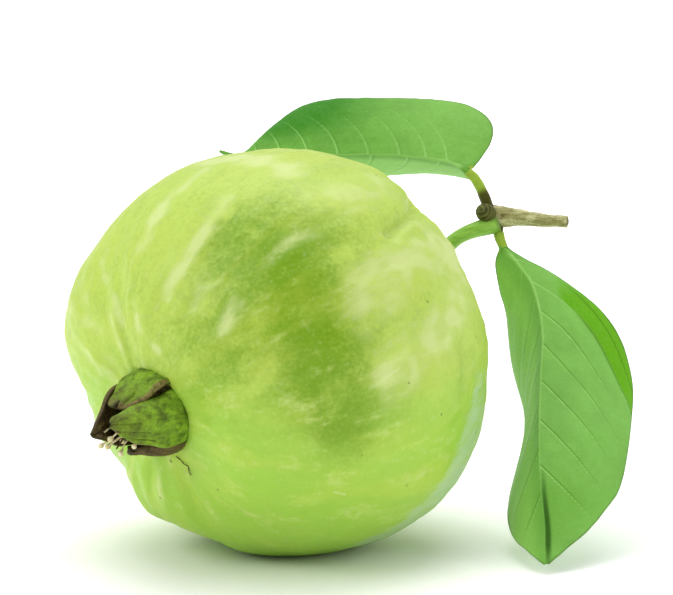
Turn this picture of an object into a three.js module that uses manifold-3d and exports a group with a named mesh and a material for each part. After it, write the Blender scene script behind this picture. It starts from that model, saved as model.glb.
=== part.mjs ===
// A guava as picked: one whole fruit lying on its side, with its calyx at the blossom end and, at the
// stem end, its stalk, a cut piece of the twig, a bud and two leaves.
//
// Millimetres. +Z is up, +X is to the right and +Y is to the back. The origin is the centre of the small
// flat spot that the fruit rests on. Each piece keeps a small gap to the next one.
import * as THREE from "three";
import { mergeVertices } from "three/addons/utils/BufferGeometryUtils.js";
import Module from "manifold-3d";

const wasm = await Module();
wasm.setup();

// ---------- driving dimensions ----------
const gap = 0.3; // between two pieces that touch

const fruitDiameter = 90;
const restDepth = 1.8; // how far the underside is pressed flat
const restBlend = 0.7; // how softly the flat spot runs into the curved skin
const restOffset = 1.5; // the flat spot lies this far to the right of the fruit's middle
const stemHeading = 47; // degrees from +X towards +Y, of the line from blossom end to stem end
const stemPitch = 12; // degrees above level, of the same line

const calyxDepth = 10.4; // of the calyx's foot, below the fruit's round outline
const calyxDiameter = 17.6;
const calyxHeight = 1.7;
const calyxWall = 1.5;
const calyxFloor = 0.9; // thickness of the cup's floor
const sepalThickness = 0.8;
const sepalSlit = 4; // degrees between two sepals
const filamentDiameter = 0.6;

const stalkDepth = 4.8; // of the stalk's foot, below the fruit's round outline
const stalkLength = 29;
const stalkDiameter = 3.3;
const twigLength = 18.8;
const twigDiameter = 2.7; // at the cut end
const knotDiameter = 5.3; // at the end where the stalk and the leaves join
const budDiameter = 4.3;
const petioleDiameter = 1.9;

const lowerLeafLength = 87;
const lowerLeafWidth = 40;
const lowerTipHeight = 2.4; // of the tip above the surface that the fruit rests on
const lowerTipSpace = 12.5; // from the fruit's side to the tip
const upperLeafLength = 76;
const upperLeafWidth = 38;
const leafThickness = 0.8;

// ---------- small helpers ----------
const radians = THREE.MathUtils.degToRad;
const smoothstep = THREE.MathUtils.smoothstep;
const vec = (x, y, z) => new THREE.Vector3(x, y, z);
const bell = (x, spread) => Math.exp(-((x / spread) ** 2));

// A unit vector: `turn` degrees round the front view, from +X towards +Z, then `lean` degrees to the front.
function direction(turn, lean) {
  const level = Math.cos(radians(lean));
  return vec(Math.cos(radians(turn)) * level, -Math.sin(radians(lean)), Math.sin(radians(turn)) * level);
}

// The lesser of two lengths, rounded over `blend` where they meet.
function softMin(a, b, blend) {
  const share = THREE.MathUtils.clamp(0.5 + (b - a) / (2 * blend), 0, 1);
  return THREE.MathUtils.lerp(b, a, share) - blend * share * (1 - share);
}

// The part of `v` square to `axis`, as a unit vector.
function squareTo(v, axis) {
  return v.clone().addScaledVector(axis, -v.dot(axis)).normalize();
}

function geometryOf(points, faces) {
  const geometry = new THREE.BufferGeometry().setFromPoints(points);
  const sixVolumes = [];
  for (let i = 0; i < faces.length; i += 3) {
    const [a, b, c] = [points[faces[i]], points[faces[i + 1]], points[faces[i + 2]]];
    sixVolumes.push(a.dot(b.clone().cross(c)));
  }
  const inwards = sixVolumes.reduce((sum, v) => sum + v, 0) < 0;
  geometry.setIndex(inwards ? faces.reverse() : faces);
  return geometry;
}

// A closed body through rings that have as many points each. Each end closes on a tip point.
function loft(rings, startTip, endTip) {
  const sides = rings[0].length;
  const points = [startTip, ...rings.flat(), endTip];
  const at = (ring, side) => 1 + ring * sides + (side % sides);
  const lastRing = rings.length - 1;
  const faces = [];
  for (let side = 0; side < sides; side++) {
    faces.push(0, at(0, side + 1), at(0, side));
    faces.push(points.length - 1, at(lastRing, side), at(lastRing, side + 1));
    for (let ring = 0; ring < lastRing; ring++) {
      const [a, b] = [at(ring, side), at(ring, side + 1)];
      const [d, c] = [at(ring + 1, side), at(ring + 1, side + 1)];
      faces.push(a, b, c, a, c, d);
    }
  }
  return geometryOf(points, faces);
}

// A round rod along a curve. radiusAt(t) is its radius at the share t of its length. `grown` makes it
// larger all round, and longer at both ends, as a cutter that leaves a gap.
function rod(curve, radiusAt, steps, sides, grown = 0) {
  const rings = [];
  const centreAt = (t) => {
    const past = t === 0 ? -grown : t === 1 ? grown : 0;
    return curve.getPointAt(t).addScaledVector(curve.getTangentAt(t), past);
  };
  let across = squareTo(vec(0.3, 0.2, 0.93), curve.getTangentAt(0));
  for (let step = 0; step <= steps; step++) {
    const t = step / steps;
    const along = curve.getTangentAt(t);
    across = squareTo(across, along);
    const up = along.clone().cross(across);
    const ring = [];
    for (let side = 0; side < sides; side++) {
      const angle = (2 * Math.PI * side) / sides;
      const radius = radiusAt(t) + grown;
      ring.push(
        centreAt(t)
          .addScaledVector(across, Math.cos(angle) * radius)
          .addScaledVector(up, Math.sin(angle) * radius),
      );
    }
    rings.push(ring);
  }
  return loft(rings, centreAt(0), centreAt(1));
}

// A sheet of even thickness about surface(u, v), where u runs 0 to 1 along it and v -1 to 1 across it.
function thickSheet(surface, thickness, steps, sides) {
  const nudge = 1e-3;
  const points = [];
  const along = (u, v) => surface(u + nudge, v).sub(surface(u - nudge, v));
  const across = (u, v) => surface(u, v + nudge).sub(surface(u, v - nudge));
  for (const face of [1, -1]) {
    for (let i = 0; i <= steps; i++) {
      for (let j = 0; j <= sides; j++) {
        const u = THREE.MathUtils.lerp(nudge, 1 - nudge, i / steps);
        const v = THREE.MathUtils.lerp(-1, 1, j / sides);
        const out = along(u, v).cross(across(u, v)).normalize();
        points.push(surface(u, v).addScaledVector(out, (face * thickness) / 2));
      }
    }
  }
  const at = (face, i, j) => (face * (steps + 1) + i) * (sides + 1) + j;
  const faces = [];
  const quad = (a, b, c, d) => faces.push(a, b, c, a, c, d);
  for (let i = 0; i < steps; i++) {
    for (let j = 0; j < sides; j++) {
      quad(at(0, i, j), at(0, i + 1, j), at(0, i + 1, j + 1), at(0, i, j + 1));
      quad(at(1, i, j), at(1, i, j + 1), at(1, i + 1, j + 1), at(1, i + 1, j));
    }
    quad(at(0, i, 0), at(1, i, 0), at(1, i + 1, 0), at(0, i + 1, 0));
    quad(at(0, i, sides), at(0, i + 1, sides), at(1, i + 1, sides), at(1, i, sides));
  }
  for (let j = 0; j < sides; j++) {
    quad(at(0, 0, j), at(0, 0, j + 1), at(1, 0, j + 1), at(1, 0, j));
    quad(at(0, steps, j), at(1, steps, j), at(1, steps, j + 1), at(0, steps, j + 1));
  }
  return geometryOf(points, faces);
}

// Joins and cuts, with manifold-3d.
function solidOf(geometry) {
  const bare = geometry.clone();
  bare.deleteAttribute("normal");
  bare.deleteAttribute("uv");
  const merged = mergeVertices(bare, 1e-4);
  return new wasm.Manifold(
    new wasm.Mesh({
      numProp: 3,
      vertProperties: merged.attributes.position.array,
      triVerts: new Uint32Array(merged.index.array),
    }),
  );
}

function geometryFrom(solid) {
  const mesh = solid.getMesh();
  return new THREE.BufferGeometry()
    .setAttribute("position", new THREE.BufferAttribute(mesh.vertProperties, 3))
    .setIndex(new THREE.BufferAttribute(mesh.triVerts, 1));
}

const material = (color, roughness) => new THREE.MeshStandardMaterial({ color, roughness, metalness: 0 });
const skin = material(0xa5cc45, 0.35);
const calyxGreen = material(0x7a9a3a, 0.6);
const calyxBrown = material(0x5a4326, 0.85);
const anther = material(0xd9cf9a, 0.8);
const stalkGreen = material(0x7fb03c, 0.5);
const bark = material(0x8f8f55, 0.8);
const blade = material(0x62a844, 0.5);

const guava = new THREE.Group();
function add(name, geometry, finish) {
  const mesh = new THREE.Mesh(geometry, finish);
  mesh.name = name;
  guava.add(mesh);
}

// ---------- the fruit ----------
const fruitRadius = fruitDiameter / 2;
const middle = vec(-restOffset, 0, fruitRadius - restDepth);
const stemWay = vec(
  Math.cos(radians(stemHeading)) * Math.cos(radians(stemPitch)),
  Math.sin(radians(stemHeading)) * Math.cos(radians(stemPitch)),
  Math.sin(radians(stemPitch)),
);
const blossomWay = stemWay.clone().negate();
const crest = squareTo(vec(0, 0, 1), blossomWay); // the top side, square to the fruit's own line
const cheek = crest.clone().cross(blossomWay).normalize(); // the side that faces right and front

// Hollows at the two ends: a broad one, with a narrower one in it.
const blossomHollow = { broad: 4.5, broadSpread: 0.75, narrow: 4.6, narrowSpread: 0.4 };
const stemHollow = { broad: 1.5, broadSpread: 0.6, narrow: 2.4, narrowSpread: 0.22 };

// Round seats at the bottom of the hollows, where the calyx and the stalk stand, with steep sides.
const calyxSeat = { floor: fruitRadius - calyxDepth, radius: calyxDiameter / 2 + gap, slope: 2.6, blend: 1.4 };
const stalkFlare = 0.45; // how much thicker the stalk is at its foot
const stalkFootRadius = (stalkDiameter / 2) * (1 + stalkFlare);
const stalkSeat = { floor: fruitRadius - stalkDepth, radius: stalkFootRadius + gap, slope: 1.2, blend: 1.2 };
const seatEdge = (seat) => Math.atan(seat.radius / seat.floor); // the angle from its axis to its floor's edge

// Swellings and dents of this fruit: where they lie, how far they stand out and how wide they spread.
const lumps = [
  { at: direction(168, 0), height: 2.6, spread: 0.34 },
  { at: direction(177, 0), height: 1.7, spread: 0.11 },
  { at: direction(194, 2), height: -0.9, spread: 0.1 },
  { at: direction(216, 5), height: -1.1, spread: 0.12 },
  { at: direction(230, 7), height: 1.6, spread: 0.2 },
  { at: direction(246, 8), height: -2.3, spread: 0.19 },
  { at: direction(321, 6), height: 3.4, spread: 0.47 },
  { at: direction(340, 3), height: 1.1, spread: 0.2 },
  { at: direction(5, 0), height: 1.3, spread: 0.17 },
  { at: direction(36, -3), height: 1.2, spread: 0.12 },
  { at: direction(45, 2), height: -2.0, spread: 0.14 },
  { at: direction(57, -4), height: 1.3, spread: 0.17 },
  { at: direction(132, -5), height: 1.0, spread: 0.34 },
];
const shoulderRibs = { count: 6, height: 0.55, from: 0.75, spread: 0.4 };

// How far the skin is from the middle, along a unit vector.
function skinRadius(way) {
  const fromBlossom = blossomWay.angleTo(way);
  const fromStem = stemWay.angleTo(way);
  let radius = fruitRadius;
  for (const [hollow, angle] of [
    [blossomHollow, fromBlossom],
    [stemHollow, fromStem],
  ]) {
    radius -= hollow.broad * bell(angle, hollow.broadSpread) + hollow.narrow * bell(angle, hollow.narrowSpread);
  }
  for (const lump of lumps) radius += lump.height * bell(lump.at.angleTo(way), lump.spread);
  const round = Math.atan2(way.dot(cheek), way.dot(crest));
  const ribs = Math.cos(shoulderRibs.count * round + 1.3 * Math.sin(round + 0.6));
  radius += shoulderRibs.height * ribs * bell(fromBlossom - shoulderRibs.from, shoulderRibs.spread);
  for (const [seat, angle] of [
    [calyxSeat, fromBlossom],
    [stalkSeat, fromStem],
  ]) {
    radius = softMin(radius, seatRadius(seat, angle), seat.blend);
  }
  return radius;
}

// How far a flat-bottomed round seat with sloping sides is from the middle, at `angle` from its own
// axis. Where it doesn't reach, the answer is a length well outside the fruit.
function seatRadius(seat, angle) {
  const toFloor = Math.cos(angle);
  const toSide = toFloor - seat.slope * Math.sin(angle);
  if (toSide <= 0.02) return 10 * fruitRadius;
  return Math.max(seat.floor / toFloor, (seat.floor - seat.slope * seat.radius) / toSide);
}

// Presses a height above the resting surface flat where the fruit lies on it.
function pressed(height) {
  if (height >= restBlend) return height;
  return height <= -restBlend ? 0 : (height + restBlend) ** 2 / (4 * restBlend);
}

function skinPoint(way) {
  const point = way.clone().multiplyScalar(skinRadius(way)).add(middle);
  point.z = pressed(point.z);
  return point;
}

function fruit() {
  const [rows, columns] = [40, 64];
  const crowding = 0.035; // rows lie closer together towards both ends
  const angles = [seatEdge(calyxSeat) / 2];
  for (let row = 0; row <= rows; row++) {
    const share = row / rows - crowding * Math.sin((4 * Math.PI * row) / rows);
    angles.push(THREE.MathUtils.lerp(seatEdge(calyxSeat), Math.PI - seatEdge(stalkSeat), share));
  }
  const rings = [];
  for (const angle of angles) {
    const ring = [];
    for (let column = 0; column < columns; column++) {
      const round = (2 * Math.PI * column) / columns;
      const way = blossomWay
        .clone()
        .multiplyScalar(Math.cos(angle))
        .addScaledVector(crest, Math.sin(angle) * Math.cos(round))
        .addScaledVector(cheek, Math.sin(angle) * Math.sin(round));
      ring.push(skinPoint(way));
    }
    rings.push(ring);
  }
  return loft(rings, skinPoint(blossomWay), skinPoint(stemWay));
}
add("fruit", fruit(), skin);

// ---------- the calyx ----------
// A place on or round the calyx: `out` from its foot along its axis, then `aside` from the axis,
// `round` degrees from the crest towards the cheek.
const calyxFoot = blossomWay.clone().multiplyScalar(calyxSeat.floor + gap).add(middle);
function sideways(round) {
  const angle = radians(round);
  return crest.clone().multiplyScalar(Math.cos(angle)).addScaledVector(cheek, Math.sin(angle));
}
function calyxPlace(out, aside, round) {
  return calyxFoot.clone().addScaledVector(blossomWay, out).addScaledVector(sideways(round), aside);
}

// The cup: a low ring with a floor, on which the dry stamens stand.
const calyxRadius = calyxDiameter / 2;
function calyxCup() {
  const profile = [
    [calyxRadius - 0.5, 0],
    [calyxRadius, 0.9],
    [calyxRadius - 0.1, calyxHeight - 0.3],
    [calyxRadius - 0.5, calyxHeight],
    [calyxRadius - calyxWall, calyxHeight],
    [calyxRadius - calyxWall - 0.4, calyxFloor],
  ];
  const sides = 40;
  const rings = profile.map(([aside, out]) =>
    Array.from({ length: sides }, (_, side) => calyxPlace(out, aside, (360 * side) / sides)),
  );
  return loft(rings, calyxPlace(0, 0, 0), calyxPlace(calyxFloor, 0, 0));
}
add("calyx_cup", calyxCup(), calyxGreen);

// The sepals. Each fills the sector of the calyx from its own `start`, in degrees, to the next one's,
// less the slit between them. It bends from the cup's rim to its tip, `reach` out along the axis and
// `aside` from it; `bow` says how late it bends and `belly` how far it swells outwards on the way.
const sepals = [
  { name: "sepal_upper", start: -45, reach: 12, aside: 6.2, bow: 2, belly: 0.9, finish: calyxGreen },
  { name: "sepal_front", start: 41, reach: 18.4, aside: 3.6, bow: 2.6, belly: 1.3, finish: calyxGreen },
  { name: "sepal_lower", start: 121, reach: 10, aside: 5.6, bow: 2.2, belly: 1, finish: calyxBrown },
  { name: "sepal_back", start: 215, reach: 17.6, aside: 1.6, bow: 1.4, belly: 1, finish: calyxBrown },
];
function sepal({ start, reach, aside, bow, belly }, end) {
  const foot = calyxRadius - sepalThickness;
  const halfAngle = (end - start - sepalSlit) / 2;
  const surface = (u, v) => {
    const out = THREE.MathUtils.lerp(calyxHeight + gap + sepalThickness / 2, reach, u);
    const from = foot + (aside - foot) * u ** bow + belly * Math.sin(Math.PI * u ** 0.6);
    const narrowing = 0.93 * Math.sqrt(Math.max(1 - u ** 7, 0)) + 0.07;
    return calyxPlace(out, from, (start + end) / 2 + v * halfAngle * narrowing);
  };
  return thickSheet(surface, sepalThickness, 9, 8);
}
sepals.forEach((piece, i) => {
  const end = i + 1 < sepals.length ? sepals[i + 1].start : sepals[0].start + 360;
  add(piece.name, sepal(piece, end), piece.finish);
});

// The dry style, and the stamens that are left round it, stand on the cup's floor and come out between
// the front and the lower sepal. Seen along the axis they lie on a spiral, so that none touches the next.
const tuft = { count: 8, spacing: 0.9, lean: 3.4, leanRound: 168, reach: 15.2 };
const antherLength = 1.5;
function filament(i) {
  const aside = tuft.spacing * Math.sqrt(i);
  const round = 137.5 * i;
  const reach = tuft.reach - 2.6 * Math.abs(Math.sin(2.4 * i));
  const places = [0, 0.3, 0.6, 0.8, 1].map((share) =>
    calyxPlace(
      THREE.MathUtils.lerp(calyxFloor + gap, reach, share),
      aside * (share < 0.7 ? 1.25 - 0.45 * share : 0.935 + 0.3 * (share - 0.7)),
      round,
    ).addScaledVector(sideways(tuft.leanRound), tuft.lean * share ** 3),
  );
  const path = new THREE.CatmullRomCurve3(places);
  const antherShare = antherLength / path.getLength();
  const radiusAt = (t) => {
    const swelling = Math.sin(Math.PI * THREE.MathUtils.clamp((t - 1 + antherShare) / antherShare, 0, 1));
    return (filamentDiameter / 2) * (1 + 0.8 * swelling);
  };
  return rod(path, radiusAt, 14, 6);
}
add("style", filament(0), calyxBrown);
for (let i = 1; i <= tuft.count; i++) add("stamen_" + i, filament(i), anther);

// One loose filament has slipped out beside the lower sepal and lies over the skin, its places being
// given by the angle past the edge of the calyx's seat.
function overSkin(past, round, height) {
  const angle = seatEdge(calyxSeat) + past;
  const way = blossomWay.clone().multiplyScalar(Math.cos(angle)).addScaledVector(sideways(round), Math.sin(angle));
  return way.clone().multiplyScalar(skinRadius(way) + height).add(middle);
}
const looseFilament = new THREE.CatmullRomCurve3([
  overSkin(0.035, 158, 0.9),
  overSkin(0.057, 157, 0.7),
  overSkin(0.08, 156, 0.7),
  overSkin(0.105, 154, 0.9),
]);
add("loose_filament", rod(looseFilament, (t) => (filamentDiameter / 2) * (1 - 0.4 * t), 6, 6), calyxBrown);

// ---------- the twig, the bud and the stalk ----------
const stalkFoot = stemWay.clone().multiplyScalar(stalkSeat.floor + gap).add(middle);
const knot = stalkFoot.clone().addScaledVector(vec(0.77, 0.24, 0.59).normalize(), stalkLength);
const twigWay = vec(0.973, -0.226, -0.045).normalize();

// Thick at the knot, then slimmer, with an even taper to the cut.
const twigStart = knot.clone().addScaledVector(twigWay, -knotDiameter * 0.3);
const twigCurve = new THREE.QuadraticBezierCurve3(
  twigStart,
  twigStart.clone().addScaledVector(twigWay, twigLength * 0.5).add(vec(0, 0, 0.3)),
  twigStart.clone().addScaledVector(twigWay, twigLength),
);
const twigMiddle = (knotDiameter + 2 * twigDiameter) / 3;
const twigRadius = (t) => {
  const slim = THREE.MathUtils.lerp(twigMiddle, twigDiameter, smoothstep(t, 0.1, 0.9));
  return (slim + (knotDiameter - twigMiddle) * bell(t - 0.06, 0.26)) / 2;
};
add("twig", rod(twigCurve, twigRadius, 16, 16), bark);

// The bud is a squat dome on the twig's blunt end.
const budWay = vec(-0.6, -0.72, 0.36).normalize();
const budCurve = new THREE.LineCurve3(
  knot.clone().addScaledVector(budWay, knotDiameter * 0.36),
  knot.clone().addScaledVector(budWay, knotDiameter * 0.36 + budDiameter * 0.92),
);
const budRadius = (t) => (budDiameter / 2) * Math.sqrt(1 - 0.86 * (2 * t - 1) ** 2);

// A piece that grows from the knot ends on the skin of those that are already there: each of these,
// grown by the gap, is cut out of it.
const cutters = [solidOf(rod(twigCurve, twigRadius, 16, 16, gap))];
function endOnKnot(geometry) {
  return geometryFrom(cutters.reduce((solid, cutter) => solid.subtract(cutter), solidOf(geometry)));
}
add("bud", endOnKnot(rod(budCurve, budRadius, 10, 14)), bark);
cutters.push(solidOf(rod(budCurve, budRadius, 10, 14, gap)));

// The stalk rises in an arch from the fruit to the near side of the knot.
const stalkCurve = new THREE.CatmullRomCurve3([
  stalkFoot,
  stalkFoot.clone().addScaledVector(stemWay, stalkLength * 0.2),
  stalkFoot.clone().lerp(knot, 0.66).add(vec(-1.2, -0.6, 1.0)),
  knot.clone().add(vec(0.8, -1.9, -1.6)),
]);
const stalkRadius = (t) => (stalkDiameter / 2) * (1 + stalkFlare * bell(t, 0.12) + 0.14 * bell(t - 1, 0.2));
add("stalk", endOnKnot(rod(stalkCurve, stalkRadius, 18, 16)), stalkGreen);
cutters.push(solidOf(rod(stalkCurve, stalkRadius, 18, 16, gap)));

// ---------- the leaves ----------
// A leaf is one piece: a blade folded along its midrib, and a round rib through it that runs on as the
// petiole. `outline` lists each half's width, as a share of the widest, at shares of the midrib's length;
// a share below 0 is the lobe beside the petiole. `fold` gives how far each half turns away from the
// face, in degrees, at the foot, the middle and the tip.
function leaf({ midrib, petiole, halfWidth, face, outline, fold, curl, wave }) {
  const margin = (points) => new THREE.SplineCurve(points.map(([t, share]) => new THREE.Vector2(t, share)));
  const margins = { left: margin(outline.left), right: margin(outline.right) };
  const bezier = ([foot, mid, tip], t) => foot * (1 - t) ** 2 + mid * 2 * t * (1 - t) + tip * t ** 2;
  const length = midrib.getLength();
  const surface = (u, v) => {
    const half = v < 0 ? "left" : "right";
    const sign = v < 0 ? 1 : -1;
    const edge = margins[half].getPoint(THREE.MathUtils.clamp(u, 0, 1));
    const t = THREE.MathUtils.lerp(u, edge.x, Math.abs(v));
    const on = THREE.MathUtils.clamp(t, 0, 1);
    const along = midrib.getTangentAt(on);
    const out = squareTo(face, along);
    const aside = along.clone().cross(out);
    const reach = Math.abs(v) * halfWidth * edge.y;
    const turn = radians(bezier(fold[half], on) + curl * v * v);
    const ripple = wave.height * v * v * edge.y * Math.sin(2 * Math.PI * (wave.count * on + wave.start * sign));
    return midrib
      .getPointAt(on)
      .addScaledVector(along, Math.min(t, 0) * length)
      .addScaledVector(aside, sign * (reach * Math.cos(turn) - ripple * Math.sin(turn)))
      .addScaledVector(out, -reach * Math.sin(turn) + ripple * Math.cos(turn));
  };
  const rib = rod(midrib, (t) => (petioleDiameter / 2) * (1 - 0.62 * smoothstep(t, 0, 0.7)), 24, 8);
  const stem = rod(petiole, (t) => (petioleDiameter / 2) * (1.2 - 0.2 * t), 8, 10);
  const sheet = solidOf(thickSheet(surface, leafThickness, 24, 12));
  return endOnKnot(geometryFrom(sheet.add(solidOf(rib)).add(solidOf(stem))));
}

// A midrib from foot to tip. Its bows are [share of the way, offset aside, offset out].
function bowedCurve(foot, tip, aside, out, bows) {
  const points = bows.map(([share, toSide, outwards]) =>
    foot.clone().lerp(tip, share).addScaledVector(aside, toSide).addScaledVector(out, outwards),
  );
  return new THREE.CatmullRomCurve3(points, false, "centripetal");
}

// The lower leaf hangs from the knot and slants to the front, down to just above the surface.
const lowerFoot = knot.clone().add(vec(1.6, -3.0, -6.6));
const lowerSwing = middle.x + fruitRadius + lowerTipSpace - lowerFoot.x;
const lowerChord = lowerLeafLength * 0.968; // from foot to tip, the midrib being bowed
const lowerRun = Math.sqrt(lowerChord ** 2 - (lowerFoot.z - lowerTipHeight) ** 2 - lowerSwing ** 2);
const lowerTip = vec(lowerFoot.x + lowerSwing, lowerFoot.y - lowerRun, lowerTipHeight);
const lowerFace = vec(-0.04, -0.71, 0.7).normalize();
const lowerMidrib = bowedCurve(lowerFoot, lowerTip, vec(1, 0, 0), lowerFace, [
  [0, 0, 0],
  [0.06, 3.3, 0],
  [0.14, 6.0, 0.1],
  [0.285, 6.6, 0.4],
  [0.45, 4.5, 1.3],
  [0.62, 2.5, 2.7],
  [0.78, 1.1, 2.9],
  [0.91, 0.8, 1.5],
  [1, 0, 0],
]);
const lowerPetiole = new THREE.CatmullRomCurve3([
  knot.clone().add(vec(1.2, -0.4, -1.0)),
  knot.clone().add(vec(1.0, -1.4, -3.4)),
  lowerMidrib.getPointAt(0.01),
]);
const lowerLeaf = leaf({
  midrib: lowerMidrib,
  petiole: lowerPetiole,
  halfWidth: lowerLeafWidth / 2,
  face: lowerFace,
  outline: {
    left: [
      [0, 0.05],
      [0.02, 0.25],
      [0.1, 0.56],
      [0.22, 0.83],
      [0.36, 0.97],
      [0.52, 1],
      [0.66, 0.97],
      [0.8, 0.84],
      [0.88, 0.66],
      [0.95, 0.32],
      [1, 0.03],
    ],
    right: [
      [0, 0.05],
      [0.05, 0.11],
      [0.12, 0.31],
      [0.24, 0.82],
      [0.36, 1.03],
      [0.5, 1.08],
      [0.63, 1.06],
      [0.77, 0.92],
      [0.87, 0.64],
      [0.95, 0.26],
      [1, 0.03],
    ],
  },
  fold: { left: [34, 104, 32], right: [8, 4, 10] },
  curl: 12,
  wave: { height: 1.4, count: 2.3, start: 0.12 },
});
add("leaf_lower", lowerLeaf, blade);

// The upper leaf rises from the knot, then lies back to the left, behind the top of the fruit.
const upperFoot = knot.clone().add(vec(-5.6, 1.0, 10.3));
const upperWay = vec(-0.872, 0.463, 0.02).normalize();
const upperTip = upperFoot.clone().addScaledVector(upperWay, upperLeafLength * 0.88);
const upperFace = vec(-0.1, -0.8, 0.58).normalize();
const upperMidrib = bowedCurve(upperFoot, upperTip, vec(0, 0, 1), upperFace, [
  [0, 0, 0],
  [0.07, 1.6, 0.2],
  [0.18, 2.2, 0.4],
  [0.34, 2.0, 0.8],
  [0.6, 0.6, 1.0],
  [0.84, -0.9, 0.4],
  [0.93, -0.9, 0.2],
  [1, 0, 0],
]);
const upperPetiole = new THREE.CatmullRomCurve3([
  knot.clone().add(vec(-1.0, 0.0, 1.4)),
  knot.clone().add(vec(-2.2, -0.2, 4.6)),
  knot.clone().add(vec(-4.0, 0.4, 8.2)),
  upperMidrib.getPointAt(0.01),
]);
const upperLeaf = leaf({
  midrib: upperMidrib,
  petiole: upperPetiole,
  halfWidth: upperLeafWidth / 2,
  face: upperFace,
  outline: {
    left: [
      [0, 0.06],
      [0, 0.25],
      [0.01, 0.5],
      [0.04, 0.76],
      [0.09, 0.92],
      [0.18, 1],
      [0.3, 1.02],
      [0.5, 1.02],
      [0.64, 1.04],
      [0.75, 1.02],
      [0.8, 0.94],
      [0.85, 0.74],
      [0.885, 0.4],
      [0.91, 0.07],
      [1, 0.03],
    ],
    right: [
      [0, 0.06],
      [-0.01, 0.3],
      [0.03, 0.6],
      [0.13, 0.85],
      [0.3, 1],
      [0.5, 0.98],
      [0.7, 0.82],
      [0.82, 0.54],
      [0.9, 0.22],
      [1, 0.03],
    ],
  },
  fold: { left: [2, 4, 10], right: [98, 100, 90] },
  curl: 10,
  wave: { height: 0.8, count: 1.8, start: 0.2 },
});
add("leaf_upper", upperLeaf, blade);

export default guava;
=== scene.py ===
"""A guava lying on its side, with its calyx, stalk, twig, bud and two leaves: the looks round the CAD part.

Shapes are worked out here in millimetres, in the CAD part's own frame (+Z up, +X to the right, +Y to the
back, the origin under the flat spot that the fruit rests on), and made into meshes in metres.

A place on the fruit is often given as (turn, lean): degrees round the front view from +X towards +Z, then
degrees towards the front. A mask is a number at each point, by which a material mixes its colours.
"""
import math
from types import SimpleNamespace

import bmesh
import bpy
import numpy as np
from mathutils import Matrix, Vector
from numpy import cos, pi, sin


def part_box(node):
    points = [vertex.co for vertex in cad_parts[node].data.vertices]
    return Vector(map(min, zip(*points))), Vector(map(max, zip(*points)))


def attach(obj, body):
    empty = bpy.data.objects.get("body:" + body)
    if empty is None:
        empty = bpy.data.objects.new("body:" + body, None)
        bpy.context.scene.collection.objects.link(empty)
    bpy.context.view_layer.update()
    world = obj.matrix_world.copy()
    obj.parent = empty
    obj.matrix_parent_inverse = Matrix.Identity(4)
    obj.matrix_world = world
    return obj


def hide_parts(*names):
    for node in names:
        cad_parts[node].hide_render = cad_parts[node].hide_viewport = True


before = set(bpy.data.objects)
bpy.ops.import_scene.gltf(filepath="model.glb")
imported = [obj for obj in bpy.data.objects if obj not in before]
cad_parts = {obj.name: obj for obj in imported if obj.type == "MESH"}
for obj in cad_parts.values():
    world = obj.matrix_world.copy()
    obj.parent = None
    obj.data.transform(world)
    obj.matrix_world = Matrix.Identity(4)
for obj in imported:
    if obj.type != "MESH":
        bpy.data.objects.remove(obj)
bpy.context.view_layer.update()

MM = 0.001
UP = np.array([0, 0, 1])

# sizes in millimetres and angles in degrees
FRUIT_MIDDLE = np.array([-1.5, 0.0, 43.2])
STEM_HEADING = 47.0
STEM_PITCH = 12.0
RIB_HEIGHT = 0.36
LUMP_HEIGHT = 0.22
DIMPLE_HEIGHT = 0.085
PORE_HEIGHT = 0.03
PUCKER_HEIGHT = 0.25
SPECK_COUNT = 26
SPECK_SPREAD = 0.009  # radians
CALYX_FLOOR = 34.9  # from the fruit's middle to the calyx's foot
CALYX_RADIUS = 8.8
SEPAL_THICKNESS = 0.85
SEPAL_LIFT = 0.45
STAMEN_COUNT = 8
STAMEN_REACH = 15.2
STAMEN_RADIUS = 0.2
ANTHER_SWELLING = 1.7
LOOSE_THREAD_RADIUS = 0.1
KNOT_RADIUS = 2.65
TWIG_WAY = np.array([0.973, -0.226, -0.045])
TWIG_LENGTH = 18.8
TWIG_NECK_RADIUS = 1.98
TWIG_END_RADIUS = 1.35
TWIG_ARCH = 0.3
BUD_LENGTH = 4.7
BUD_RADIUS = 2.2
BUD_SCALE_HEIGHT = 0.16
STALK_SEAT = 39.9  # from the fruit's middle to the stalk's foot
STALK_RADIUS = 1.65
LEAF_THICKNESS = 0.55
MIDRIB_RADIUS = 0.95
VEIN_WIDTH = 0.3

LIGHTS_AIM = (0, 0, 0.04)  # metres

# colours, as red, green and blue from 0 to 255
# Painted light among these: the darkest green is partly painted shade, the low tone is painted shade on the
# underside, the pale one is painted sheen and the bluish one a painted reflection.
SKIN = dict(
    light=(180, 206, 84), deep=(112, 154, 2), low=(156, 200, 66), yellow=(190, 206, 74),
    fleck=(202, 218, 136), dot=(206, 226, 130), pale=(204, 218, 142), cool=(180, 210, 158),
    scar=(206, 218, 150), speck=(86, 104, 34),
)
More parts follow.
